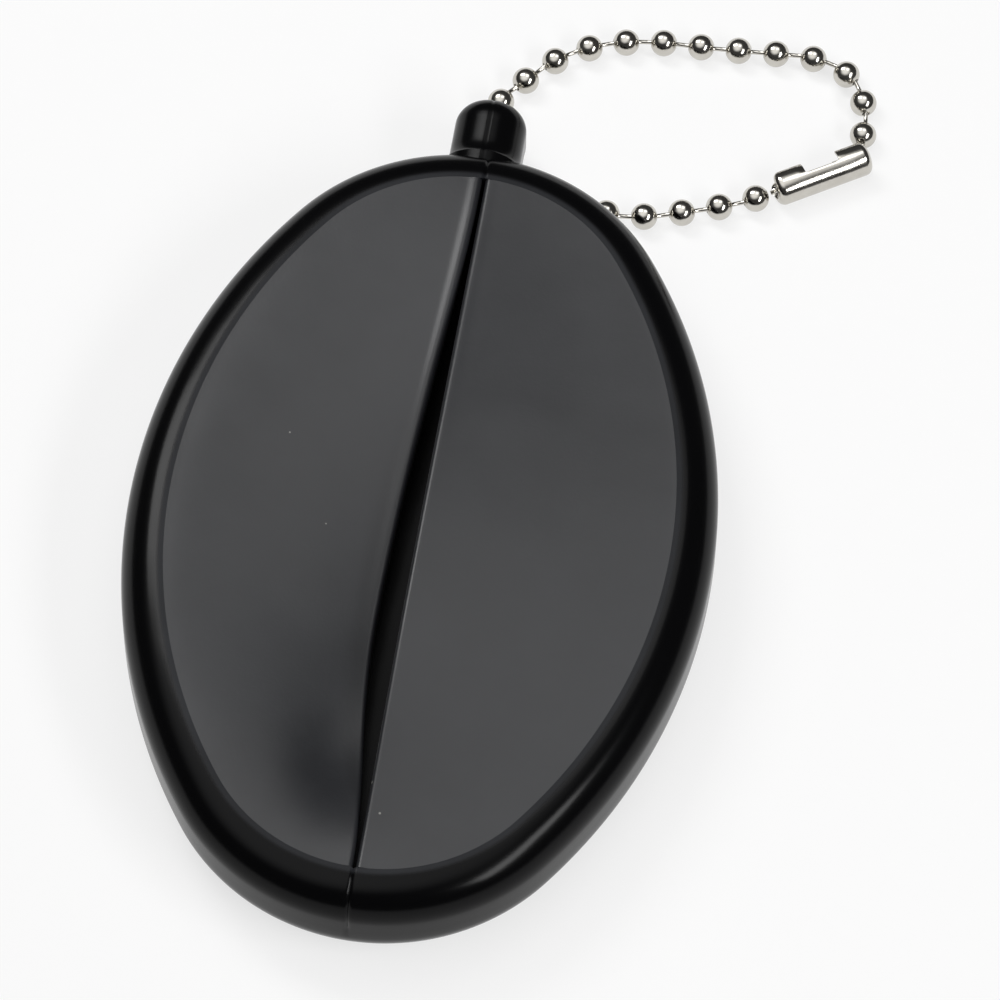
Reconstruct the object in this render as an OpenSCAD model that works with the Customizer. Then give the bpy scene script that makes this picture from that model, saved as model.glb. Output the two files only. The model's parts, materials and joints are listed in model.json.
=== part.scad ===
// Oval squeeze coin purse: one soft moulding, slit along its front, with a knob that carries
// a loop of ball chain closed by a folded connector.
// +Z points out of the front, +Y towards the knob. The origin lies on the flat of the back,
// under the middle of the oval, and the purse rests on z = 0.

/* [Pouch] */
// Length of the oval pouch, without the knob
pouch_l = 75.2; // [72:0.1:80]
// Width of the oval pouch
pouch_w = 50.8; // [48:0.1:56]
// Height of the rim above the back
pouch_h = 10; // [9.2:0.1:13]
// Radius of the outline at its two ends
end_r = 19.5; // [18:0.1:21]
// Radius of the shoulder between the side and the front
shoulder_r = 3.4; // [2.6:0.1:4]
// Radius of the edge between the side and the back
foot_r = 4; // [3:0.1:4.6]
// Thickness of the moulded back and sides
wall = 1.4; // [1:0.1:1.8]

/* [Front flaps] */
// Thickness of the two flaps of the front
flap_t = 1.3; // [0.9:0.1:1.6]
// Crown of the front above the rim
crown_h = 0.6; // [0.2:0.1:1.2]
// Width of the slit where the lips lie side by side
slit_w = 0.3; // [0.2:0.05:0.6]
// Gap along the living hinge, between a flap and the rim
hinge_gap = 0.3; // [0.2:0.05:0.5]
// Gap between the rim and a flap's two narrow ends
end_gap = 0.7; // [0.6:0.1:1.2]
// Place along the slit where it gapes most
gape_y = -9; // [-15:0.5:10]
// How far the left lip hangs down there
left_drop = 2.4; // [0:0.1:3]
// How far the left lip draws back from the slit there
left_back = 2.1; // [0:0.1:3]
// How far the right lip stands up there
right_rise = 1.1; // [0:0.1:2]

/* [Knob] */
// Half the width of the knob
knob_r = 3.2; // [3:0.1:3.6]
// Length of the knob beyond the pouch
knob_l = 6.1; // [5.8:0.1:7]
// Height of the knob's top above the back
knob_top = 8.8; // [8:0.1:9]
// Height of the knob's underside above the back
knob_low = 0.15; // [0.1:0.05:0.3]
// How far the knob stands to the left of the slit
knob_left = 0.6; // [0:0.1:1]
// Radius of the knob's rounded tip
tip_r = 1.7; // [1.2:0.1:2.2]
// How far the collar at the knob's root stands proud
collar_h = 0.4; // [0.2:0.1:0.7]
// Length of the collar
collar_l = 0.9; // [0.7:0.1:1.4]
// Radius of the passage for the chain
hole_r = 1.45; // [1.4:0.01:1.5]
// Thickness of the floor under the passage
hole_floor = 0.7; // [0.5:0.05:0.9]
// Turn of the passage's front leg to the left of the knob's length
front_turn = 28; // [24:1:32]
// Turn of the passage's side leg to the left of the knob's length
side_turn = 62; // [58:1:66]

/* [Ball chain] */
// Diameter of a bead
bead_d = 2.4; // [2.2:0.05:2.5]
// Distance from bead to bead
pitch = 3.4; // [3.3:0.05:3.5]
// Thickness of a bead's wall
bead_wall = 0.2; // [0.15:0.01:0.24]
// Radius of the two holes in a bead
bead_hole_r = 0.34; // [0.32:0.01:0.37]
// Radius of a link's wire
wire_r = 0.2; // [0.15:0.01:0.21]
// Radius of a link's two heads
head_r = 0.4; // [0.39:0.01:0.42]
// Depth of a head's centre inside the wall of its bead
head_depth = 0.66; // [0.6:0.01:0.68]
// Beads from the one at the knob's tip to the one in the connector's first cup
beads_out = 15; // [14:1:16]
// Beads from the one in the connector's second cup to the one inside the knob
beads_back = 9; // [8:1:10]

/* [Connector] */
// Distance between the beads in the connector's two cups
cup_spacing = 6; // [5.6:0.1:6.4]
// Thickness of the connector's sheet
sheet_t = 0.25; // [0.2:0.05:0.3]
// Room between a bead and its cup
cup_gap = 0.12; // [0.1:0.01:0.16]
// Width of the slot along the sleeve
slot_w = 2; // [1.7:0.1:2.1]
// Length of the lips at each end of the sleeve
lip_l = 2.9; // [2.6:0.1:3.1]
// Turn of the slot about the sleeve, up from level
mouth_turn = 6; // [0:1:10]
// Radius of the neck that keeps a bead in its cup
neck_r = 0.8; // [0.6:0.05:0.95]
// Gap at the open end of the chain, between the last link and the next bead
open_gap = 0.25; // [0.2:0.05:0.4]

/* [Hidden] */
$fn = 64;
edge_steps = 5;

// Plan outline: four arcs that meet smoothly, moved inwards by an inset
half_w = pouch_w / 2;
half_l = pouch_l / 2;
end_y = half_l - end_r;
side_r = (half_w ^ 2 + half_l ^ 2 - 2 * half_l * end_r) / (2 * (half_w - end_r));
side_x = side_r - half_w;
join_a = atan2(end_y, side_x);
function join_y(inset) = (side_r - inset) * sin(join_a);
function outline_x(y, inset) = abs(y) < join_y(inset)
    ? sqrt((side_r - inset) ^ 2 - y ^ 2) - side_x
    : sqrt(max(0, (end_r - inset) ^ 2 - (abs(y) - end_y) ^ 2));

// Stations round the outline: the centre and the radius of an arc, and an angle on it
arc_steps = 14;
arcs = [
    [[-side_x, 0], side_r, -join_a, join_a],
    [[0, end_y], end_r, join_a, 180 - join_a],
    [[side_x, 0], side_r, 180 - join_a, 180 + join_a],
    [[0, -end_y], end_r, 180 + join_a, 360 - join_a]
];
stations = [for (a = arcs) for (k = [0:arc_steps - 1]) [a[0], a[1], a[2] + (a[3] - a[2]) * k / arc_steps]];

// Flaps
flap_in = shoulder_r + hinge_gap;
flap_end = half_l - flap_in - end_gap;
flap_steps = 24;
flap_cells = 10;

// Knob and the chain's passage through it
knob_mid = knob_top - knob_r;
knob_foot = knob_low + knob_r;
tip_y = half_l + knob_l;
root_y = half_l - wall + 0.1;
hole_z = knob_low + hole_floor + hole_r;
hole_x = 0.1 - knob_left;
hole_y = tip_y;
corner_x = hole_x + pitch * sin(front_turn);
corner_y = hole_y - pitch * cos(front_turn);

// Route of the chain from the knob's tip round to the bead inside the knob: offsets from the
// tip's mouth in X and Y, with heights above the table
bead_r = bead_d / 2;
cup_r = bead_r + cup_gap;
cup_z = cup_r + sheet_t;
low = bead_r;
route = [
    [0, 0, hole_z], [0, 3.3, 1.6], [1.9, 6.2, low], [4.4, 8.8, low], [7.4, 10.6, low],
    [10.6, 11.6, low], [13.9, 12, low], [17.3, 12.1, low], [20.7, 12.3, low],
    [24.1, 12.5, low], [27.4, 12.4, low], [30.3, 11, low], [31.9, 8.1, low],
    [32.1, 4.8, low], [31.5, 2.2, cup_z], [26.4, -1, cup_z], [23.2, -2.9, low],
    [19.9, -4.3, low], [16.6, -5.4, low], [13.6, -6.2, low], [10.9, -6.3, low],
    [7.8, -5.6, low], [4.6, -4.6, low + 0.4], [pitch * sin(front_turn), -pitch * cos(front_turn), hole_z]
];
route_steps = 8;

// Smooth curve through the route's points, and the length along it to each of its stations
function spline(p, i, t) = let (
    n = len(p),
    a = p[max(i - 1, 0)],
    b = p[i],
    c = p[min(i + 1, n - 1)],
    d = p[min(i + 2, n - 1)])
    (2 * b + (c - a) * t + (2 * a - 5 * b + 4 * c - d) * t ^ 2
    + (3 * b - a - 3 * c + d) * t ^ 3) / 2;
curve = [
    for (i = [0:len(route) - 2]) for (k = [0:route_steps - 1]) spline(route, i, k / route_steps),
    route[len(route) - 1]
];
function lengths(p, i = 0, sum = 0, out = []) = i == len(p)
    ? out
    : let (s = i == 0 ? 0 : sum + norm(p[i] - p[i - 1])) lengths(p, i + 1, s, concat(out, [s]));
along = lengths(curve);
route_l = along[len(along) - 1];
table_x = [for (i = [0:len(curve) - 1]) [along[i], curve[i].x]];
table_y = [for (i = [0:len(curve) - 1]) [along[i], curve[i].y]];
table_z = [for (i = [0:len(curve) - 1]) [along[i], curve[i].z]];

// Beads sit one pitch apart along the route, which grows or shrinks to take them all
bead_count = beads_out + beads_back;
chain_l = (bead_count - 2) * pitch + cup_spacing;
route_k = chain_l / route_l;
function spot(s) = let (t = s / route_k) [
    hole_x + route_k * lookup(t, table_x),
    hole_y + route_k * lookup(t, table_y),
    max(low, lookup(t, table_z))
];
function station(i) = i < beads_out ? i * pitch : (i - 1) * pitch + cup_spacing;
function in_cup(i) = i == beads_out - 1 || i == beads_out;
function place(i) = let (p = spot(station(i))) in_cup(i) ? [p.x, p.y, cup_z] : p;
function unit(v) = v / norm(v);
bead_spots = [for (i = [0:bead_count - 1]) place(i)];

// A bead's holes face halfway between its two neighbours, or along its one link in the
// connector's cups. They then ease towards the links themselves, so that no link tilts much.
wall_mid = bead_r - bead_wall / 2;
function wrap(i) = (i + bead_count) % bead_count;
function neighbour(i) = bead_spots[wrap(i)];
function both(i, before, after) = i == beads_out - 1 ? before : i == beads_out ? after : unit(before + after);
function run(i) = unit(neighbour(i + 1) - neighbour(i));
first_axes = [for (i = [0:bead_count - 1]) both(i, run(i - 1), run(i))];
function eased_run(i) = unit(
    neighbour(i + 1) - wall_mid * first_axes[wrap(i + 1)] - neighbour(i) - wall_mid * first_axes[wrap(i)]);
bead_axes = [for (i = [0:bead_count - 1])
    unit(1.5 * first_axes[i] + both(i, eased_run(i - 1), eased_run(i)))];
function bead_axis(i) = bead_axes[wrap(i)];
function hole_out(i) = neighbour(i) + wall_mid * bead_axis(i);
function hole_in(i) = neighbour(i) - wall_mid * bead_axis(i);
link_l = pitch - 2 * wall_mid + 2 * head_depth;

// Links are numbered by the bead they start from, and none starts in the connector's first cup
link_starts = [for (i = [0:bead_count - 1]) if (i != beads_out - 1) i];
open_link = beads_out;

function name_of(word, n) = str(word, "_", n < 10 ? "0" : "", n);
bead_names = [for (i = [0:bead_count - 1]) name_of("bead", i + 1)];
link_names = [for (i = [0:len(link_starts) - 1]) name_of("link", i + 1)];

vinyl = [0.09, 0.09, 0.1];
nickel = [0.78, 0.77, 0.74];

// Turns what is drawn along Z so that it runs along a direction from a point
module aim(from, direction) {
    d = unit(direction);
    translate(from) rotate([0, acos(d.z), atan2(d.y, d.x)]) children();
}

// Points of an arc, from one angle to another
function arc(centre, radius, from, to) = [
    for (k = [0:edge_steps]) let (a = from + (to - from) * k / edge_steps)
        centre + radius * [cos(a), sin(a)]
];

// Section of the side: the edge at the back, the straight side and the shoulder, then back inside
foot_mid = [-foot_r, foot_r];
shoulder_mid = [-shoulder_r, pouch_h - shoulder_r];
section = concat(
    arc(foot_mid, foot_r, -90, 0),
    arc(shoulder_mid, shoulder_r, 0, 90),
    arc(shoulder_mid, shoulder_r - wall, 90, 0),
    arc(foot_mid, foot_r - wall, 0, -90));

// A place at a station, an offset outwards from the outline
function outline_at(station, out) = station[0] + (station[1] + out) * [cos(station[2]), sin(station[2])];

// The pouch's side, with its section carried round the outline
module side_wall() {
    row = len(section);
    rows = len(stations);
    polyhedron(
        points = [for (s = stations) for (p = section) concat(outline_at(s, p.x), [p.y])],
        faces = [for (k = [0:rows - 1]) for (j = [0:row - 1]) let (
            a = k * row + j,
            b = k * row + (j + 1) % row,
            c = (k + 1) % rows * row + (j + 1) % row,
            d = (k + 1) % rows * row + j)
            each [[a, b, c], [a, c, d]]]);
}

module back() {
    linear_extrude(wall) polygon([for (s = stations) outline_at(s, -foot_r)]);
}

// Half of the knob's plan, from its middle line outwards, with its rounded tip and collar
module knob_half_plan() {
    body_l = tip_y - root_y;
    translate([0, root_y]) square([knob_r, body_l - tip_r]);
    translate([0, root_y]) square([knob_r - tip_r, body_l]);
    translate([knob_r - tip_r, tip_y - tip_r]) intersection() {
        circle(tip_r);
        square(tip_r);
    }
    translate([0, root_y]) square([knob_r + collar_h, half_l + collar_l - collar_h - root_y]);
    translate([knob_r, half_l + collar_l - collar_h]) intersection() {
        circle(collar_h);
        square(collar_h);
    }
}

module knob() {
    intersection() {
        translate([-knob_left, 0, 0]) {
            for (h = [knob_foot, knob_mid]) translate([0, 0, h]) rotate([-90, 0, 0])
                rotate_extrude() knob_half_plan();
            translate([0, 0, knob_foot]) linear_extrude(knob_mid - knob_foot) {
                knob_half_plan();
                mirror([1, 0]) knob_half_plan();
            }
        }
        translate([-pouch_w / 2, 0, knob_low]) cube([pouch_w, pouch_l, pouch_h]);
    }
}

// The chain comes in at the knob's side and leaves at its tip
module knob_passage() {
    reach = knob_l + knob_r;
    corner = [corner_x, corner_y, hole_z];
    translate(corner) sphere(hole_r);
    aim(corner, [-sin(front_turn), cos(front_turn), 0]) cylinder(h = reach, r = hole_r);
    aim(corner, [sin(side_turn), -cos(side_turn), 0]) cylinder(h = reach, r = hole_r);
}

module pouch_shell() {
    color(vinyl) difference() {
        union() {
            side_wall();
            back();
            knob();
        }
        knob_passage();
    }
}

// How much the slit gapes at a place along it, from 0 at the two ends to 1
function gape(y) = let (v = (y - gape_y) / (y > gape_y ? flap_end - gape_y : flap_end + gape_y))
    (1 - v ^ 2) ^ 2;

// Height of the front's crown over a place
function crown(x, y) = crown_h * max(0, 1 - (x / half_w) ^ 2) * max(0, 1 - (y / half_l) ^ 2);

// A flap's plan at a place along the slit: t runs from 0 at the hinge to 1 at the lip
function flap_x(y, t, side, back) = let (
    hinge = outline_x(y, flap_in),
    lip = slit_w / 2 + back * gape(y))
    side * (hinge + t * (lip - hinge));
function flap_z(x, y, t, rise) = pouch_h + crown(x, y) - crown(outline_x(y, flap_in), y)
    + rise * gape(y) * t ^ 1.6;

// One flap: a curved sheet over a grid of stations, with its underside flap_t below
module flap(side, back, rise) {
    ys = [for (j = [0:flap_steps]) flap_end * sin(180 * j / flap_steps - 90)];
    top = [for (y = ys) for (i = [0:flap_cells]) let (
        t = i / flap_cells,
        x = flap_x(y, t, side, back))
        [x, y, flap_z(x, y, t, rise)]];
    under = [for (p = top) p - [0, 0, flap_t]];
    row = flap_cells + 1;
    n = len(top);
    function quad(a, b, c, d) = [[a, b, c], [a, c, d]];
    cells = [for (j = [0:flap_steps - 1]) for (i = [0:flap_cells - 1]) j * row + i];
    lid = [for (k = cells) each quad(k, k + row, k + row + 1, k + 1)];
    base = [for (k = cells) each quad(n + k, n + k + 1, n + k + row + 1, n + k + row)];
    sides = [for (j = [0:flap_steps - 1]) each concat(
        quad(j * row, n + j * row, n + (j + 1) * row, (j + 1) * row),
        quad(j * row + flap_cells, (j + 1) * row + flap_cells,
            n + (j + 1) * row + flap_cells, n + j * row + flap_cells))];
    last = flap_steps * row;
    ends = [for (i = [0:flap_cells - 1]) each concat(
        quad(i, i + 1, n + i + 1, n + i),
        quad(last + i, n + last + i, n + last + i + 1, last + i + 1))];
    faces = concat(lid, base, sides, ends);
    flipped = [for (f = faces) [f[2], f[1], f[0]]];
    polyhedron(points = concat(top, under), faces = side < 0 ? faces : flipped);
}

module left_flap() {
    color(vinyl) flap(-1, left_back, -left_drop);
}

module right_flap() {
    color(vinyl) flap(1, 0, right_rise);
}

// A hollow bead with a hole at each end of its axis
module bead(i) {
    color(nickel) aim(bead_spots[i], bead_axis(i)) difference() {
        sphere(bead_r, $fn = 32);
        sphere(bead_r - bead_wall, $fn = 32);
        cylinder(h = bead_d + 1, r = bead_hole_r, center = true, $fn = 16);
    }
}

// A link: a wire with a head at each end, which keeps it in its two beads. The link at the open
// end of the chain stops short of the next bead.
module link(i) {
    a = hole_out(i);
    b = hole_in(i + 1);
    open = i == open_link;
    wire_l = open ? link_l - head_depth - bead_wall / 2 - open_gap : link_l;
    color(nickel) aim((a + b) / 2 - unit(b - a) * link_l / 2, b - a) {
        sphere(head_r, $fn = 24);
        cylinder(h = wire_l, r = wire_r, $fn = 16);
        if (!open) translate([0, 0, link_l]) sphere(head_r, $fn = 24);
    }
}

// The connector: a folded sleeve that is open along one side, with a cup at each end
module connector() {
    first = bead_spots[beads_out - 1];
    second = bead_spots[beads_out];
    sleeve_l = norm(second - first) + 2 * (cup_r + sheet_t);
    outer_r = cup_r + sheet_t;
    heading = atan2(second.y - first.y, second.x - first.x);
    color(nickel) translate((first + second) / 2) rotate(heading + 180) rotate([mouth_turn, 0, 0])
        rotate([0, 90, 0]) difference() {
            cylinder(h = sleeve_l, r = outer_r, center = true, $fn = 48);
            cylinder(h = sleeve_l - 2 * sheet_t, r = cup_r, center = true, $fn = 48);
            cylinder(h = sleeve_l + 1, r = neck_r, center = true, $fn = 32);
            translate([-slot_w / 2, 0, -sleeve_l]) cube([slot_w, 2 * outer_r, 2 * sleeve_l]);
            translate([-outer_r - 1, 0, lip_l - sleeve_l / 2])
                cube([2 * outer_r + 2, outer_r + 1, sleeve_l - 2 * lip_l]);
        }
}

pouch_shell();
left_flap();
right_flap();
connector();
for (i = [0:bead_count - 1]) bead(i);
for (n = [0:len(link_starts) - 1]) link(link_starts[n]);
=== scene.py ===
# %% [markdown]
# # A squeeze coin purse with a ball chain
# The purse is one soft black vinyl moulding: a flat back, a rolled rim and two flaps that meet at
# a slit. A loop of nickel-plated ball chain runs through the knob at its end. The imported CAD
# model is loaded first, because every piece made here sits in its frame, in metres.

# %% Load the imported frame
import json
from math import atan2, cos, pi, radians, sin, sqrt

import bmesh
import bpy
from mathutils import Matrix, Vector

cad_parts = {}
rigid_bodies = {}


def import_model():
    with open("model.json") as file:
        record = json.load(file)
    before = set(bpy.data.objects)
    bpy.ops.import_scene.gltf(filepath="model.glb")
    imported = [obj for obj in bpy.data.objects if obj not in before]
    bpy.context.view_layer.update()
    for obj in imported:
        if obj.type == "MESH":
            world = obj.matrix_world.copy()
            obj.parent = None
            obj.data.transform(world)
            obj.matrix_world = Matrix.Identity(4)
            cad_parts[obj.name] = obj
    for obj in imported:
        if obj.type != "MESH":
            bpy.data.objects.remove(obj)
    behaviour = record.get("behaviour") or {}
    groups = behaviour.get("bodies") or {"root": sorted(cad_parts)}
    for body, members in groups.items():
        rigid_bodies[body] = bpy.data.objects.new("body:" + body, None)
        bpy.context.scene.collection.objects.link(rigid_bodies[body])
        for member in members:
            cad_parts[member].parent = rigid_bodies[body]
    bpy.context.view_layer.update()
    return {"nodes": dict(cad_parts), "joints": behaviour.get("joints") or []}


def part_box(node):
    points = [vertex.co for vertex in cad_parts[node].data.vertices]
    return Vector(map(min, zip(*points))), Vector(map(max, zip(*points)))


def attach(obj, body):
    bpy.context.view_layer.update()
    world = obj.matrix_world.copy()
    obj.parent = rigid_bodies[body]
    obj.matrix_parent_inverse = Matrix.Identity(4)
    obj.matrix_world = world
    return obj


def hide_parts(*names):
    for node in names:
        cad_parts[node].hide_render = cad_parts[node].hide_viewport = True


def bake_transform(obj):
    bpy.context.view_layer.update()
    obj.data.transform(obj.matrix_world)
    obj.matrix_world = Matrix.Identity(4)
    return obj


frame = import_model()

MM = 0.001
joints = {joint["name"]: joint for joint in frame["joints"]}

# %% [markdown]
# ## Sizes
# The outline of the purse is an oval of four arcs that meet smoothly: two long sides and two
# round ends. The same few sizes give the rim, the flaps and the seam, so they are named once.

# %% Sizes of the pouch, in millimetres
half_w, half_l, height = 25.4, 37.6, 10.0
end_r, foot_r, shoulder_r, wall = 19.5, 4.0, 3.4, 1.4
end_y = half_l - end_r
side_r = (half_w ** 2 + half_l ** 2 - 2 * half_l * end_r) / (2 * (half_w - end_r))
side_x = side_r - half_w
join_a = atan2(end_y, side_x)
flap_t, flap_in, crown_h, slit_w, gape_y = 1.3, 3.7, 0.6, 0.3, -9.0
print("side radius", round(side_r, 3), "join angle", round(join_a, 4))


def outline_x(y, inset):
    """Half the width of the oval at a place along it, moved inwards by an inset."""
    if abs(y) < (side_r - inset) * sin(join_a):
        return sqrt((side_r - inset) ** 2 - y * y) - side_x
    return sqrt(max(0, (end_r - inset) ** 2 - (abs(y) - end_y) ** 2))


def smooth(low, high, x):
    """0 below low, 1 above high and a soft step between them."""
    t = min(1, max(0, (x - low) / (high - low)))
    return t * t * (3 - 2 * t)


def arc(centre, radius, start, end, steps):
    """Points of an arc between two angles in degrees."""
    angles = [radians(start + (end - start) * k / steps) for k in range(steps + 1)]
    return [(centre[0] + radius * cos(a), centre[1] + radius * sin(a)) for a in angles]


# %% [markdown]
# ## Finishing a piece
# Every piece is modelled in millimetres and ends as a mesh in metres, with its place in its
# vertices. One float attribute, `panel`, says where the skin is matt and where its colour holds
# painted sheen: 1 on the front, 0 on the polished rim.

# %% Helpers that turn a bmesh into a piece
def new_piece(bm, name, material):
    """A smooth-shaded object at the origin from a bmesh in millimetres."""
    for face in bm.faces:
        face.smooth = True
    bmesh.ops.scale(bm, vec=(MM, MM, MM), verts=bm.verts)
    mesh = bpy.data.meshes.new(name)
    bm.to_mesh(mesh)
    bm.free()
    mesh.materials.append(material)
    piece = bpy.data.objects.new(name, mesh)
    bpy.context.scene.collection.objects.link(piece)
    return piece


def path(bm, points):
    """A line of new vertices joined by edges, ready to be spun."""
    verts = [bm.verts.new(p) for p in points]
    return verts + [bm.edges.new(pair) for pair in zip(verts, verts[1:])]


def outwards(bm):
    """Merges doubles and makes a closed shape's faces point outwards."""
    bmesh.ops.remove_doubles(bm, verts=bm.verts, dist=0.001)
    bmesh.ops.recalc_face_normals(bm, faces=bm.faces)


# %% [markdown]
# ## Materials
# One function turns the hex colours of a paint chart into Blender's linear values, and one adds
# a node with its settings and links. The rest of each material is a short list of nodes.

# %% Helpers for materials
def linear(hex_colour):
    """An sRGB hex colour as linear RGBA."""
    values = [int(hex_colour[i:i + 2], 16) / 255 for i in (1, 3, 5)]
    return [v / 12.92 if v <= 0.04045 else ((v + 0.055) / 1.055) ** 2.4 for v in values] + [1]


def add(tree, kind, inputs, **settings):
    """Adds a node. An input is a value, or another node's output that is linked to it."""
    made = tree.nodes.new("ShaderNode" + kind)
    for name, value in settings.items():
        setattr(made, name, value)
    for name, value in inputs.items():
        if isinstance(value, bpy.types.NodeSocket):
            tree.links.new(value, made.inputs[name])
        else:
            made.inputs[name].default_value = value
    return made


def new_material(name):
    """An empty node material and its object coordinates."""
    material = bpy.data.materials.new(name)
    material.use_nodes = True
    tree = material.node_tree
    tree.nodes.clear()
    return material, tree, add(tree, "TexCoord", {}).outputs["Object"]


# %% [markdown]
# ### Vinyl
# Soft PVC, dip-coloured black and moulded in a polished tool. The rim comes out glossy and
# nearly black. The front is matt from the tool's fine texture, so it scatters light. Its dark grey
# colour is painted sheen for that light, with faint smudges from handling and a few specks of dust.

# %% Vinyl material
# The front's grey, lighter than the rim's black, is painted sheen; its blotchy spread is smudging
PANEL_DARK_WITH_SHEEN, PANEL_LIGHT_WITH_SHEEN, RIM_BLACK, DUST = "#1e1f22", "#292a2d", "#070708", "#7d7c78"


def make_vinyl(name, gloss):
    """gloss is the specular level, lower on the rim so that it stays nearly black."""
    material, tree, place = new_material(name)
    panel = add(tree, "Attribute", {}, attribute_name="panel").outputs["Fac"]
    # Smudges about 14 mm across
    smudge = add(tree, "TexNoise", {"Vector": place, "Scale": 1 / (14 * MM), "Detail": 4, "Roughness": 0.6})
    tone = add(tree, "ValToRGB", {"Fac": smudge.outputs["Fac"]})
    tone.color_ramp.elements[0].position = 0.32
    tone.color_ramp.elements[0].color = linear(PANEL_DARK_WITH_SHEEN)
    tone.color_ramp.elements[1].position = 0.7
    tone.color_ramp.elements[1].color = linear(PANEL_LIGHT_WITH_SHEEN)
    # Specks of dust: one cell in a few holds a speck about 0.25 mm across
    cells = add(tree, "TexVoronoi", {"Vector": place, "Scale": 1 / (4.5 * MM), "Randomness": 1.0})
    near = add(tree, "Math", {0: cells.outputs["Distance"], 1: 0.028}, operation="LESS_THAN")
    chosen = add(tree, "SeparateColor", {"Color": cells.outputs["Color"]})
    picked = add(tree, "Math", {0: chosen.outputs["Red"], 1: 0.3}, operation="LESS_THAN")
    speck = add(tree, "Math", {0: near.outputs[0], 1: picked.outputs[0]}, operation="MULTIPLY")
    # Painted sheen: the front's grey laid over the rim's black
    skin = add(tree, "Mix", {"Factor": panel, "A": linear(RIM_BLACK), "B": tone.outputs["Color"]},
               data_type="RGBA")
    colour = add(tree, "Mix", {"Factor": speck.outputs[0], "A": skin.outputs["Result"], "B": linear(DUST)},
                 data_type="RGBA")
    # Roughness: polished rim, matt front, a little uneven
    matt = add(tree, "MapRange", {"Value": smudge.outputs["Fac"], "To Min": 0.3, "To Max": 0.4})
    rough = add(tree, "Mix", {"Factor": panel, "A": 0.2, "B": matt.outputs["Result"]}, data_type="FLOAT")
    # The tool's texture, drawn at 0.3 mm so that it shows, and slow waves of the soft sheet
    grain = add(tree, "TexNoise", {"Vector": place, "Scale": 1 / (0.3 * MM), "Detail": 2})
    grain_depth = add(tree, "Math", {0: grain.outputs["Fac"], 1: panel}, operation="MULTIPLY")
    fine = add(tree, "Bump", {"Height": grain_depth.outputs[0], "Strength": 0.25, "Distance": 0.02 * MM})
    wave = add(tree, "TexNoise", {"Vector": place, "Scale": 1 / (9 * MM), "Detail": 1})
    waves = add(tree, "Bump", {"Height": wave.outputs["Fac"], "Strength": 0.5, "Distance": 0.15 * MM,
                               "Normal": fine.outputs["Normal"]})
    shader = add(tree, "BsdfPrincipled", {
        "Base Color": colour.outputs["Result"], "Roughness": rough.outputs["Result"],
        "Normal": waves.outputs["Normal"], "IOR": 1.5, "Specular IOR Level": gloss})
    add(tree, "OutputMaterial", {"Surface": shader.outputs["BSDF"]})
    return material


rim_vinyl = make_vinyl("pvc_polished_rim", 0.12)
vinyl = make_vinyl("pvc_matt_front", 0.5)
print("materials", rim_vinyl.name, vinyl.name)

# %% [markdown]
# ### Nickel plate
# The beads, links and connector are pressed from thin steel or brass sheet and barrel-plated
# with bright nickel: a warm mirror, very slightly clouded by handling.

# %% Nickel material
def make_nickel():
    material, tree, place = new_material("bright_nickel_plate")
    # Clouding about 1.2 mm across
    cloud = add(tree, "TexNoise", {"Vector": place, "Scale": 1 / (1.2 * MM), "Detail": 3})
    rough = add(tree, "MapRange", {"Value": cloud.outputs["Fac"], "To Min": 0.1, "To Max": 0.2})
    tint = add(tree, "ValToRGB", {"Fac": cloud.outputs["Fac"]})
    tint.color_ramp.elements[0].color = linear("#bdb9b1")
    tint.color_ramp.elements[1].color = linear("#d3d0c9")
    # Marks of the barrel, about 0.25 mm
    marks = add(tree, "TexNoise", {"Vector": place, "Scale": 1 / (0.25 * MM), "Detail": 1})
    bump = add(tree, "Bump", {"Height": marks.outputs["Fac"], "Strength": 0.12, "Distance": 0.01 * MM})
    shader = add(tree, "BsdfPrincipled", {
        "Base Color": tint.outputs["Color"], "Roughness": rough.outputs["Result"],
        "Normal": bump.outputs["Normal"], "Metallic": 1.0})
    add(tree, "OutputMaterial", {"Surface": shader.outputs["BSDF"]})
    return material


nickel = make_nickel()
print("material", nickel.name)

# %% [markdown]
# ## The shell
# The back, the side and the rim have one section all round the purse. The section is drawn once
# as a line of points and spun through the oval's four arcs in turn, each about its own centre.
# It ends in a short wall under the flaps, so nothing shows through along their hinges.

# %% Section of the shell: offsets from the outline, and heights
shoulder = (-shoulder_r, height - shoulder_r)
foot = (-foot_r, foot_r)
section = (
    arc(foot, foot_r, -90, 0, 14)
    + [(0, 4.9), (0, 5.8)]
    + arc(shoulder, shoulder_r, 0, 78, 20)
    + arc(shoulder, shoulder_r, 79.5, 90, 7)
    + [(-3.5, height), (-3.6, height), (-flap_in, height), (-flap_in, height - flap_t)]
    + arc(shoulder, shoulder_r - wall, 90, 0, 8)
    + arc(foot, foot_r - wall, 0, -90, 8)
)
print("section points", len(section))

# %% Spin the section round the oval
bm = bmesh.new()
start = (-side_x, 0, 0)
line = path(bm, [
    (start[0] + (side_r + out) * cos(-join_a), (side_r + out) * sin(-join_a), z) for out, z in section])
turns = [
    (start, 2 * join_a, 110), ((0, end_y, 0), pi - 2 * join_a, 84),
    ((side_x, 0, 0), 2 * join_a, 110), ((0, -end_y, 0), pi - 2 * join_a, 84)]
for centre, angle, steps in turns:
    line = bmesh.ops.spin(bm, geom=line, cent=centre, axis=(0, 0, 1), angle=angle, steps=steps)["geom_last"]
bmesh.ops.remove_doubles(bm, verts=bm.verts, dist=0.001)
bmesh.ops.holes_fill(bm, edges=[edge for edge in bm.edges if edge.is_boundary], sides=0)
bmesh.ops.recalc_face_normals(bm, faces=bm.faces)
print("shell faces", len(bm.faces))

# %% [markdown]
# The slit's line runs on as a shallow seam over the rim at both ends, left by the parting of the
# tool. The faces there are cut along it and beside it, and the middle line is sunk.

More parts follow.
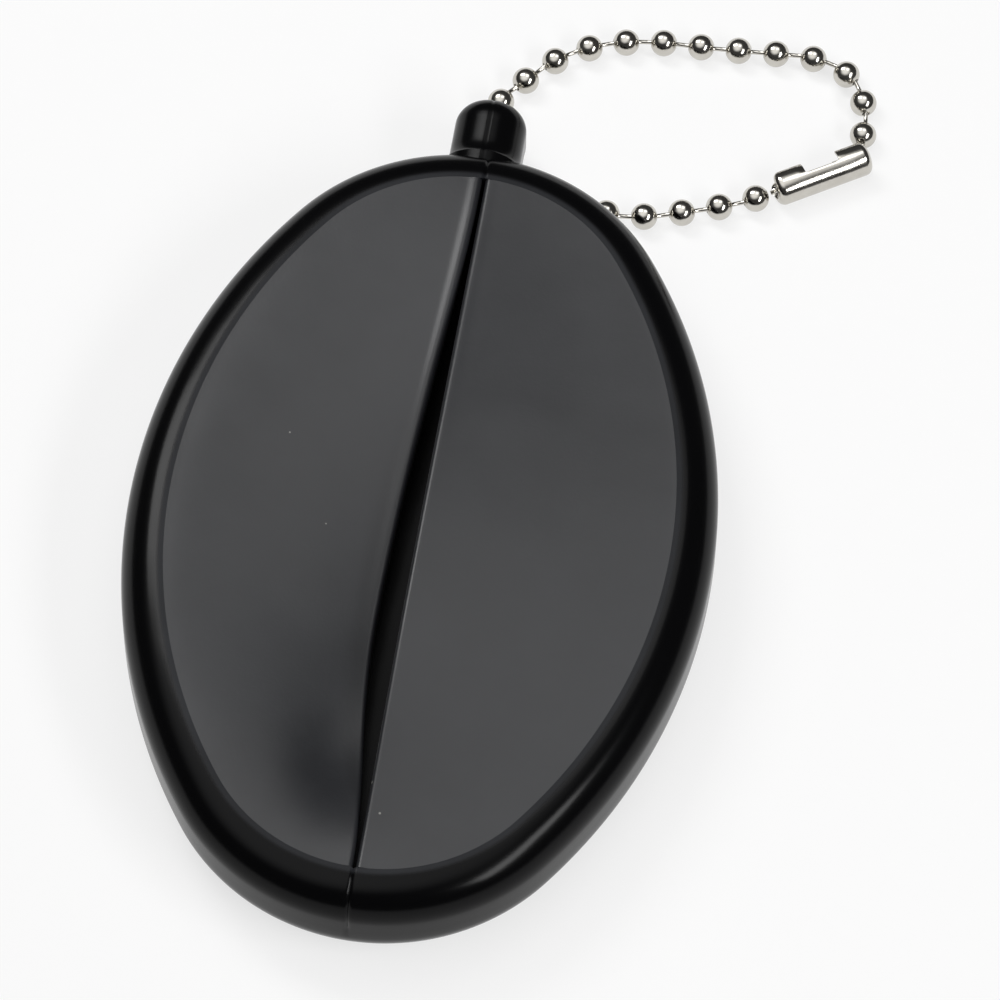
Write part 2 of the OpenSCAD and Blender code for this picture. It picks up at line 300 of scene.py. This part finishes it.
# %% Cut the seam into the rim
seam_half, seam_depth = 0.22, 0.16
for x in (-seam_half, 0.0, seam_half):
    near = [face for face in bm.faces
            if abs(face.calc_center_median().y) > half_l - 6 and abs(face.calc_center_median().x) < 1.6
            and face.calc_center_median().z > 1.8]
    around = {part for face in near for part in [face, *face.edges, *face.verts]}
    bmesh.ops.bisect_plane(bm, geom=list(around), dist=0.0005, plane_co=(x, 0, 0), plane_no=(1, 0, 0))
bm.normal_update()
for vert in bm.verts:
    if abs(vert.co.x) < 0.01 and abs(vert.co.y) > half_l - 3.75 and vert.co.z > 4 and vert.normal.z > -0.1:
        vert.co -= vert.normal * seam_depth
panel_layer = bm.verts.layers.float.new("panel")
for vert in bm.verts:
    inset = 0
    if vert.co.z > height - 0.4:
        y = vert.co.y
        if abs(y) > (side_r - shoulder_r) * sin(join_a):
            inset = end_r - sqrt(vert.co.x ** 2 + (abs(y) - end_y) ** 2)
        else:
            inset = side_r - sqrt((abs(vert.co.x) + side_x) ** 2 + y * y)
    vert[panel_layer] = smooth(3.0, 3.45, inset)
shell = new_piece(bm, "shell", rim_vinyl)
shell.data.set_sharp_from_angle(angle=radians(50))
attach(shell, "pouch_shell")
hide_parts("pouch_shell")
print("shell", len(shell.data.vertices))

# %% [markdown]
# ## The flaps
# Each flap is a sheet that bends along the rim and ends in a rounded lip at the slit. A grid is
# bent into it: the grid's columns follow the flap's section, from the hinge over the top, round
# the lip and back underneath, and its rows follow the slit. The columns lie closer at both ends.

# %% Section of a flap
lip_r = 0.38
flap_end = half_l - flap_in - 0.05
cad_end = half_l - flap_in - 0.7


def eased(k, n):
    """Steps from 0 to 1 that are closer at both ends."""
    return 0.45 * k / n + 0.55 * (0.5 - 0.5 * cos(pi * k / n))


# Each column is a share of the way to the lip, an offset towards the slit and a depth
columns = [(eased(k, 44), 0, 0) for k in range(45)]
columns += [(1, lip_r * sin(radians(a)), lip_r * (1 - cos(radians(a)))) for a in (20, 40, 60, 80)]
columns += [(1, lip_r, 0.5 * flap_t)]
columns += [(1, lip_r * cos(radians(a)), flap_t - lip_r * (1 - sin(radians(a)))) for a in (10, 40, 70)]
columns += [(1 - k / 22, 0, flap_t) for k in range(23)]
print("flap columns", len(columns))


def gape(y):
    """How much the slit gapes at a place along it, from 0 at its ends to 1."""
    v = (y - gape_y) / (cad_end - gape_y if y > gape_y else cad_end + gape_y)
    return (1 - min(1, v * v)) ** 2


def crown(x, y):
    return crown_h * max(0, 1 - (x / half_w) ** 2) * max(0, 1 - (y / half_l) ** 2)


def bump(x, y, centre, spread):
    """1 at a place, falling off smoothly around it."""
    return 2.718 ** -(((x - centre[0]) / spread[0]) ** 2 + ((y - centre[1]) / spread[1]) ** 2)


# %% Bend a grid into a flap
def flap_mesh(side, back, rise, roll, dents):
    """side is -1 left of the slit and 1 right of it. roll is how far the lip's edge is rolled up."""
    bm = bmesh.new()
    rows = 176
    bmesh.ops.create_grid(bm, x_segments=len(columns) - 1, y_segments=rows, size=1)
    for vert in bm.verts:
        share, out, down = columns[round((vert.co.x + 1) / 2 * (len(columns) - 1))]
        y = flap_end * (0.25 * vert.co.y + 0.75 * sin(pi / 2 * vert.co.y))
        hinge = outline_x(y, flap_in)
        lip = slit_w / 2 + back * gape(y)
        x = hinge + share * (lip + lip_r - hinge) - out
        inwards = hinge - x
        # The crown starts level with the rim, so no crease shows along the hinge
        level = (crown(x, y) - crown(hinge, y)) * inwards ** 2 / (inwards ** 2 + 0.36)
        z = height + level + rise * gape(y) * share ** 1.4 - down
        z += roll * bump(x - lip, y, (0.55, 20), (0.42, 16))
        z += sum(depth * bump(side * x, y, centre, spread) for centre, spread, depth in dents)
        vert.co = (side * x, y, z)
    if side < 0:
        bmesh.ops.reverse_faces(bm, faces=bm.faces)
    bm.normal_update()
    top = max(bm.faces, key=lambda face: face.calc_center_median().z)
    if top.normal.z < 0:
        bmesh.ops.reverse_faces(bm, faces=bm.faces)
    layer = bm.verts.layers.float.new("panel")
    for vert in bm.verts:
        vert[layer] = 1
    return bm


# %% [markdown]
# A flap turns about one straight hinge in the CAD model, but the rim it joins is an oval. So the
# sheet is cut into nine zones that fan out from the middle of the slit, each with its own inward
# direction, start line and length. Two zones are parted where both give the same share of the way in.

# %% Zones of a flap: inward direction, distance of its start line from the middle, length
def zones(side):
    fan = []
    for k, length in zip(range(-4, 5), (24, 20, 16.5, 15, 14, 15, 16.5, 20, 24)):
        turn = k * pi / 8
        if abs(turn) < join_a:
            far = side_r - flap_in - side_x * cos(turn)
        else:
            far = end_y * sin(abs(turn)) + end_r - flap_in
        fan.append((str(k + 5), (-side * cos(turn), -sin(turn)), far - 0.8, length))
    return fan


def make_flap(node, side, back, rise, roll, dents):
    whole = flap_mesh(side, back, rise, roll, dents)
    for label, way, far, length in zones(side):
        bm = whole.copy()
        for _, other, other_far, other_length in zones(side):
            if other == way:
                continue
            # Keeps the side where this zone's share is the lesser one
            slope = Vector((*way, 0)) / length - Vector((*other, 0)) / other_length
            level = far / length - other_far / other_length
            bmesh.ops.bisect_plane(
                bm, geom=[*bm.verts, *bm.edges, *bm.faces], dist=0.0005,
                plane_co=slope * (-level / slope.length_squared), plane_no=slope, clear_outer=True)
        piece = new_piece(bm, node + "_" + label, vinyl)
        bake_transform(piece)
        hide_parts(node)
        print(piece.name, len(piece.data.vertices))
    whole.free()


# %% Make the two flaps
make_flap("left_flap", -1, 2.1, -3.3, 0.16, [((-2.6, -23.5), (4.4, 6.0), -0.9)])
make_flap("right_flap", 1, 0, 1.4, 0.05, [])

# %% [markdown]
# ## The knob
# The knob is a stub with a rounded tip and a flared root, moulded on to the end of the purse. Its
# section is a racetrack: half a turn, a straight side, half a turn and the other side. The half
# plan is drawn once and carried round that track by turns and straight pulls.

# %% Carry the knob's plan round its track
knob_x, knob_r, knob_low, knob_high, tip_y, tip_r = -0.6, 3.2, 3.35, 5.6, 43.7, 2.2
flare, flare_y, flare_l, root_y, floor_z = 0.4, 37.3, 1.3, 36.3, 0.15
body_y, pull_steps = flare_y + flare_l, 6
plan = [(knob_r + flare, root_y), (knob_r + flare, root_y + 0.5)]
for a in range(0, 91, 9):
    plan.append((knob_r + flare * (1 - sin(radians(a))), flare_y + flare_l * (1 - cos(radians(a)))))
plan += [(knob_r, body_y + (tip_y - tip_r - body_y) * k / 8) for k in range(1, 8)]
plan += arc((knob_r - tip_r, tip_y - tip_r), tip_r, 0, 90, 16) + [(0.7, tip_y), (0.35, tip_y), (0, tip_y)]


def edges_of(geometry):
    return [part for part in geometry if isinstance(part, bmesh.types.BMEdge)]


def verts_of(geometry):
    return [part for part in geometry if isinstance(part, bmesh.types.BMVert)]


bm = bmesh.new()
line = path(bm, [(knob_x + r, y, knob_low) for r, y in plan])
for centre_z, rise in ((knob_high, knob_high - knob_low), (knob_low, knob_low - knob_high)):
    for _ in range(pull_steps):
        pulled = bmesh.ops.extrude_edge_only(bm, edges=edges_of(line))["geom"]
        bmesh.ops.translate(bm, vec=(0, 0, rise / pull_steps), verts=verts_of(pulled))
        line = [part for part in pulled if not isinstance(part, bmesh.types.BMFace)]
    turned = bmesh.ops.spin(
        bm, geom=line, cent=(knob_x, 0, centre_z), axis=(0, -1, 0), angle=pi, steps=44)
    line = turned["geom_last"]
bmesh.ops.remove_doubles(bm, verts=bm.verts, dist=0.001)
bmesh.ops.holes_fill(bm, edges=[edge for edge in bm.edges if edge.is_boundary], sides=0)
bmesh.ops.recalc_face_normals(bm, faces=bm.faces)
print("knob faces", len(bm.faces), "open edges", sum(edge.is_boundary for edge in bm.edges))

# %% Sink the seam along the knob's top and cut its underside flat
knob_seam_half, knob_seam_depth = 0.28, 0.1
for x in (-knob_seam_half, 0.0, knob_seam_half):
    above = [face for face in bm.faces if face.calc_center_median().z > knob_high + 0.3]
    around = {part for face in above for part in [face, *face.edges, *face.verts]}
    bmesh.ops.bisect_plane(
        bm, geom=list(around), dist=0.0005, plane_co=(knob_x + x, 0, 0), plane_no=(1, 0, 0))
bm.normal_update()
for vert in bm.verts:
    if abs(vert.co.x - knob_x) < 0.01 and vert.co.z > knob_high:
        vert.co -= vert.normal * knob_seam_depth * smooth(0.5, 2.4, vert.co.z - knob_high)
bmesh.ops.bisect_plane(bm, geom=[*bm.verts, *bm.edges, *bm.faces], dist=0.0005, plane_co=(0, 0, floor_z),
                       plane_no=(0, 0, -1), clear_outer=True)
bmesh.ops.holes_fill(bm, edges=[edge for edge in bm.edges if edge.is_boundary], sides=0)
bmesh.ops.recalc_face_normals(bm, faces=bm.faces)
knob = new_piece(bm, "knob", rim_vinyl)

# %% [markdown]
# The chain's passage turns a corner inside the knob: it enters at the side and leaves at the
# tip. A ball at the corner and a rod along each leg are cut out of the knob one after another.

# %% Cut the passage for the chain
def aim(place, direction):
    """A matrix that moves what is modelled along Z to a place, pointing in a direction."""
    turn = Vector((0, 0, 1)).rotation_difference(Vector(direction).normalized())
    return Matrix.Translation(place) @ turn.to_matrix().to_4x4()


corner, hole_r, leg_l = Vector((1.096, 40.698, 2.3)), 1.45, 9
front_turn, side_turn = radians(28), radians(62)
legs = [(-sin(front_turn), cos(front_turn), 0), (sin(side_turn), -cos(side_turn), 0)]
for way in [None] + legs:
    bm = bmesh.new()
    if way is None:
        bmesh.ops.create_uvsphere(
            bm, u_segments=40, v_segments=24, radius=hole_r, matrix=Matrix.Translation(corner))
    else:
        bmesh.ops.create_cone(bm, cap_ends=True, segments=40, radius1=hole_r, radius2=hole_r, depth=leg_l,
                              matrix=aim(corner, way) @ Matrix.Translation((0, 0, leg_l / 2)))
    cutter = new_piece(bm, "cutter", rim_vinyl)
    cut = knob.modifiers.new("passage", "BOOLEAN")
    cut.object, cut.operation, cut.solver = cutter, "DIFFERENCE", "EXACT"
    whole = bpy.data.meshes.new_from_object(knob.evaluated_get(bpy.context.evaluated_depsgraph_get()))
    knob.modifiers.clear()
    knob.data = whole
    bpy.data.objects.remove(cutter)
knob.data.set_sharp_from_angle(angle=radians(50))
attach(knob, "pouch_shell")
print("knob", len(knob.data.vertices))

# %% [markdown]
# ## The ball chain
# Each bead is a hollow ball with a small hole at each end of its axis, and each link is a wire
# with a head inside either bead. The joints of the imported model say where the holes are: a link
# swings at the hole of the bead before it, and a bead tilts at its own near hole.

# %% Find every bead's middle and holes
hole_at = {}
for joint in joints.values():
    if "pouch_shell" in (joint["parent"], joint["child"]) or "connector" in (joint["parent"], joint["child"]):
        continue
    link, bead = sorted((joint["parent"], joint["child"]), key=lambda body: body.startswith("bead"))
    hole_at[link, bead] = Vector(joint["pos_m"]) / MM
middle = {}
for name in frame["nodes"]:
    if name.startswith("bead"):
        low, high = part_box(name)
        middle[name] = (low + high) / 2 / MM
print("beads", len(middle), "holes", len(hole_at))

# %% Spin the beads
bead_r, bead_wall, bead_hole = 1.2, 0.2, 0.34


def bead_mesh():
    """A hollow bead round Z, with its hole edges rolled in a little."""
    bm = bmesh.new()
    mouth, rolled = bead_r - bead_wall, bead_r - 0.12
    section = arc((0, 0), bead_r, 72.5, -72.5, 30) + [(bead_hole, -rolled), (bead_hole, -mouth)]
    section += arc((0, 0), bead_r - bead_wall, -50.5, 50.5, 12) + [(bead_hole, mouth), (bead_hole, rolled)]
    line = path(bm, [(x, 0, z) for x, z in section])
    verts = verts_of(line)
    edges = edges_of(line) + [bm.edges.new((verts[-1], verts[0]))]
    bmesh.ops.spin(
        bm, geom=verts + edges, cent=(0, 0, 0), axis=(0, 0, 1), angle=2 * pi, steps=44, use_merge=True)
    outwards(bm)
    return bm


for name, place in middle.items():
    hole = next(at for (_, bead), at in hole_at.items() if bead == name)
    bm = bead_mesh()
    bm.transform(aim(place, hole - place))
    piece = new_piece(bm, "ball_" + name[-2:], nickel)
    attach(piece, name)
    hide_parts(name)
print("beads made", len(middle))

# %% Spin the links
wire_r, head_r, head_depth, open_gap = 0.2, 0.4, 0.66, 0.35
for name in sorted(n for n in frame["nodes"] if n.startswith("link")):
    ends = [at for (link, _), at in hole_at.items() if link == name]
    whole_link = len(ends) == 2
    if not whole_link:
        # The link at the open pivot points at the near hole of the next bead and stops short of it
        far_hole = next(at for (_, bead), at in hole_at.items() if bead == "bead_17")
        ends.append(2 * middle["bead_17"] - far_hole)
    way = (ends[1] - ends[0]).normalized()
    length = (ends[1] - ends[0]).length + 2 * head_depth
    far_end = arc((0, length), head_r, -60, 90, 10)
    if not whole_link:
        far_end = [(wire_r, length - head_depth - open_gap), (0, length - head_depth - open_gap)]
    bm = bmesh.new()
    path(bm, [(x, 0, z) for x, z in arc((0, 0), head_r, -90, 60, 10) + far_end])
    for vert in bm.verts:
        vert.co.x = max(0, vert.co.x)
    bmesh.ops.spin(bm, geom=[*bm.verts, *bm.edges], cent=(0, 0, 0), axis=(0, 0, 1), angle=2 * pi, steps=20,
                   use_merge=True)
    outwards(bm)
    bm.transform(aim(ends[0] - way * head_depth, way))
    piece = new_piece(bm, "wire_" + name[-2:], nickel)
    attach(piece, name)
    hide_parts(name)
print("links made")

# %% [markdown]
# ## The connector
# A strip of sheet metal is rolled into a sleeve that stays open along one side. Its ends are
# drawn in to a neck, and a window in the middle lets the last beads snap in. The sleeve's mid
# surface is spun, the slot and the window are cut away, and the sheet gets its thickness.

# %% Spin the sleeve and open its side
cup_r, sheet_t, slot_w, lip_l, neck_r = 1.32, 0.25, 2.0, 2.9, 0.8
first, second = middle["bead_15"], middle["bead_16"]
half_sleeve = (second - first).length / 2 + cup_r + sheet_t
mid_r = cup_r + sheet_t / 2
shut = half_sleeve - sheet_t / 2
bm = bmesh.new()
half_line = arc((shut - 0.55, mid_r - 0.55), 0.55, 0, 90, 6)
points = [(shut, neck_r + 0.02)] + half_line + [(2.4, mid_r), (1.2, mid_r), (0, mid_r)]
points += [(-x, r) for x, r in points[-2::-1]]
path(bm, [(x, r, 0) for x, r in points])
bmesh.ops.spin(bm, geom=[*bm.verts, *bm.edges], cent=(0, 0, 0), axis=(1, 0, 0), angle=2 * pi, steps=48,
               use_merge=True)
outwards(bm)
window = half_sleeve - lip_l
for co, no in (((0, 0, slot_w / 2), (0, 0, 1)), ((0, 0, -slot_w / 2), (0, 0, 1)), ((0, 0, 0), (0, 1, 0)),
               ((window, 0, 0), (1, 0, 0)), ((-window, 0, 0), (1, 0, 0))):
    bmesh.ops.bisect_plane(bm, geom=[*bm.verts, *bm.edges, *bm.faces], dist=0.0005, plane_co=co, plane_no=no)
gone = [face for face in bm.faces if face.calc_center_median().y > 0 and (
    abs(face.calc_center_median().z) < slot_w / 2 or abs(face.calc_center_median().x) < window)]
bmesh.ops.delete(bm, geom=gone, context="FACES")
print("sleeve faces", len(bm.faces))

# %% Give the sleeve its thickness and its place
bmesh.ops.recalc_face_normals(bm, faces=bm.faces)
bm.normal_update()
for vert in bm.verts:
    vert.co += vert.normal * (sheet_t / 2)
bmesh.ops.solidify(bm, geom=bm.faces[:], thickness=sheet_t)
bmesh.ops.recalc_face_normals(bm, faces=bm.faces)
along = (first - second).normalized()
heading = atan2(along.y, along.x)
turn = Matrix.Rotation(heading, 4, "Z") @ Matrix.Rotation(radians(6), 4, "X")
bm.transform(Matrix.Translation((first + second) / 2) @ turn)
rims = [edge for edge in bm.edges if edge.calc_face_angle(0) > radians(60)]
bmesh.ops.bevel(bm, geom=rims, offset=0.05, offset_type="OFFSET", affect="EDGES", segments=2, profile=0.5,
                material=-1, clamp_overlap=True)
sleeve = new_piece(bm, "sleeve", nickel)
sleeve.data.set_sharp_from_angle(angle=radians(50))
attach(sleeve, "connector")
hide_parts("connector")

# %% [markdown]
# ## Floor, light and camera
# A plain pale floor keeps the soft shadow. The sky is a wide soft light overhead that falls off
# towards the horizon, as in a studio tent with dark sides: that gives the polished rim and the
# beads their dark edges. Two lamps behind the purse put the sheen on the matt front.

# %% Floor
bm = bmesh.new()
bmesh.ops.create_grid(bm, x_segments=8, y_segments=8, size=900)
white, tree, place = new_material("white_paper_sweep")
# Paper fibre, drawn at 2 mm so that it stays finer than the shadow
fibre = add(tree, "TexNoise", {"Vector": place, "Scale": 1 / (2 * MM), "Detail": 3})
paper = add(tree, "ValToRGB", {"Fac": fibre.outputs["Fac"]})
paper.color_ramp.elements[0].color = linear("#f6f6f6")
paper.color_ramp.elements[1].color = linear("#f9f9f9")
shade = add(tree, "BsdfPrincipled", {"Base Color": paper.outputs["Color"], "Roughness": 0.9,
                                     "Specular IOR Level": 0.1})
# The cut-out white of the photograph: seen directly or in the metal, the paper glows a little,
# and it still takes the object's shadow
ray = add(tree, "LightPath", {})
seen = add(tree, "Math", {0: ray.outputs["Is Camera Ray"], 1: ray.outputs["Is Glossy Ray"]},
           operation="MAXIMUM")
seen = add(tree, "Math", {0: seen.outputs[0], 1: ray.outputs["Is Transmission Ray"]}, operation="MAXIMUM")
share = add(tree, "Math", {0: seen.outputs[0], 1: 0.7}, operation="MULTIPLY")
glow = add(tree, "Emission", {"Color": linear("#ffffff"), "Strength": 1.0})
surface = add(tree, "MixShader", {0: share.outputs[0], 1: shade.outputs["BSDF"], 2: glow.outputs["Emission"]})
add(tree, "OutputMaterial", {"Surface": surface.outputs["Shader"]})
floor = new_piece(bm, "floor", white)
print("floor", floor.dimensions[:])

# %% Sky: bright overhead, dark towards the horizon
world = bpy.data.worlds.new("studio")
bpy.context.scene.world = world
world.use_nodes = True
tree = world.node_tree
tree.nodes.clear()
way = add(tree, "TexCoord", {}).outputs["Generated"]
# The tent's opening leans to the left, so the light comes from above and a little from there
lean = add(tree, "VectorMath", {0: way, 1: (-0.2, 0, 0.98)}, operation="DOT_PRODUCT")
tent = add(tree, "MapRange", {"Value": lean.outputs["Value"], "From Min": 0.7, "From Max": 0.98,
                              "To Min": 0.05, "To Max": 1.25}, interpolation_type="SMOOTHSTEP")
sky = add(tree, "Background", {"Color": linear("#ffffff"), "Strength": tent.outputs["Result"]})
add(tree, "OutputWorld", {"Surface": sky.outputs["Background"]})


# %% Lamps
def lamp(name, place, target, size, watts):
    light = bpy.data.lights.new(name, "AREA")
    light.shape, light.size, light.size_y, light.energy = "RECTANGLE", size[0], size[1], watts
    made = bpy.data.objects.new(name, light)
    bpy.context.scene.collection.objects.link(made)
    made.matrix_world = aim(Vector(place), Vector(place) - Vector(target))
    print("lamp", name, place, watts)


lamp("behind_left", (-0.2, 0.2, 0.34), (-0.01, 0.01, 0.01), (0.2, 0.12), 0.6)
lamp("right", (0.42, -0.2, 0.4), (0.01, -0.02, 0.01), (0.12, 0.4), 1.6)
lamp("behind_right", (0.07, 0.16, 0.36), (0.02, -0.02, 0.01), (0.14, 0.14), 0.1)

# %% Camera at the photograph's angle
azimuth, elevation, distance = radians(9.48), radians(62), 0.6
back = Vector((sin(azimuth) * cos(elevation), -cos(azimuth) * cos(elevation), sin(elevation)))
right = Vector((cos(azimuth), sin(azimuth), 0))
above = back.cross(right)
lens = bpy.data.cameras.new("camera")
lens.lens, lens.sensor_width, lens.shift_x, lens.shift_y = 251.3, 36, 0.0794, 0.0196
camera = bpy.data.objects.new("camera", lens)
bpy.context.scene.collection.objects.link(camera)
turned = Matrix((right, above, back)).transposed().to_4x4()
camera.matrix_world = Matrix.Translation(Vector((0, 0, 0.0089)) + back * distance) @ turned
bpy.context.scene.camera = camera
bpy.context.scene.view_settings.view_transform = "Standard"
print("camera", camera.location[:])

# %% Finish
bpy.context.view_layer.update()
